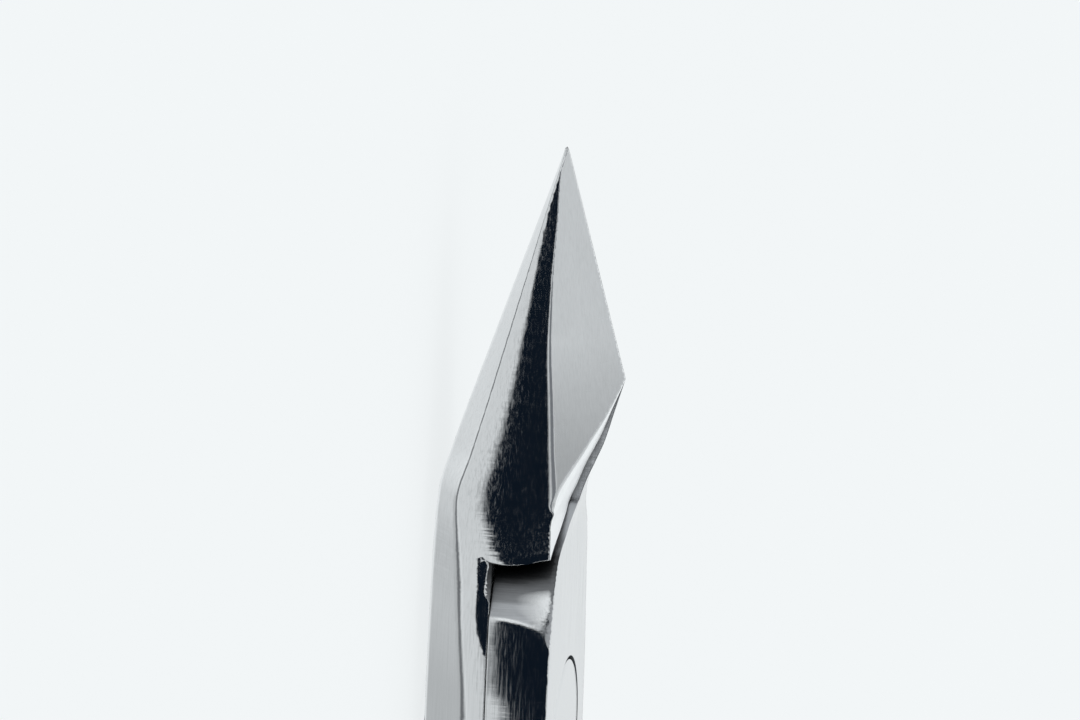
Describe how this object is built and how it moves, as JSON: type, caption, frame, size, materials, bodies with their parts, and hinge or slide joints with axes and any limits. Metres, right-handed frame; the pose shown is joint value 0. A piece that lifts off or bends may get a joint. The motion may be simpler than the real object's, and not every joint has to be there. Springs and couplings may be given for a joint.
{
  "type": "cuticle nipper",
  "caption": "Polished stainless steel cuticle nipper with a lap joint, a flush rivet and two interlocking leaf springs.",
  "frame": {"origin": "pivot axis on the flat back face of the back plate, on which the tool lies", "axes": "+Z out of the front plate along the pivot axis, -Y from the handles to the tip, X is the direction in which the handles open; the tool lies on its back face"},
  "size_m": [0.0258, 0.1124, 0.0072],
  "materials": {
    "polished_steel": "polished",
    "spring_steel": "satin"
  },
  "bodies": {
    "rear_handle": {"rear_half": "polished_steel", "pivot_rivet": "polished_steel", "rear_spring_screw": "spring_steel"},
    "front_handle": {"front_half": "polished_steel", "front_spring_screw": "spring_steel"},
    "front_leaf": {"front_spring_leaf": "spring_steel"},
    "rear_leaf": {"rear_spring_leaf": "spring_steel"}
  },
  "joints": [
    {"name": "jaw_pivot", "type": "hinge", "parent": "rear_handle", "child": "front_handle", "pos_m": [0, 0, 0], "axis": [0, 0, -1], "range_deg": [0, 12]},
    {"name": "front_leaf_bend", "type": "hinge", "parent": "front_handle", "child": "front_leaf", "pos_m": [0.00859, 0.053, 0.00263], "axis": [0, 0, -1], "range_deg": [0, 6], "deforming": ["front_spring_leaf"]},
    {"name": "rear_leaf_bend", "type": "hinge", "parent": "rear_handle", "child": "rear_leaf", "pos_m": [-0.00859, 0.053, 0.00263], "axis": [0, 0, 1], "range_deg": [0, 6], "deforming": ["rear_spring_leaf"]}
  ],
  "couplings": [
    {"joint": "front_leaf_bend", "follows": "jaw_pivot", "ratio": 0.4655},
    {"joint": "rear_leaf_bend", "follows": "jaw_pivot", "ratio": 0.4655}
  ]
}
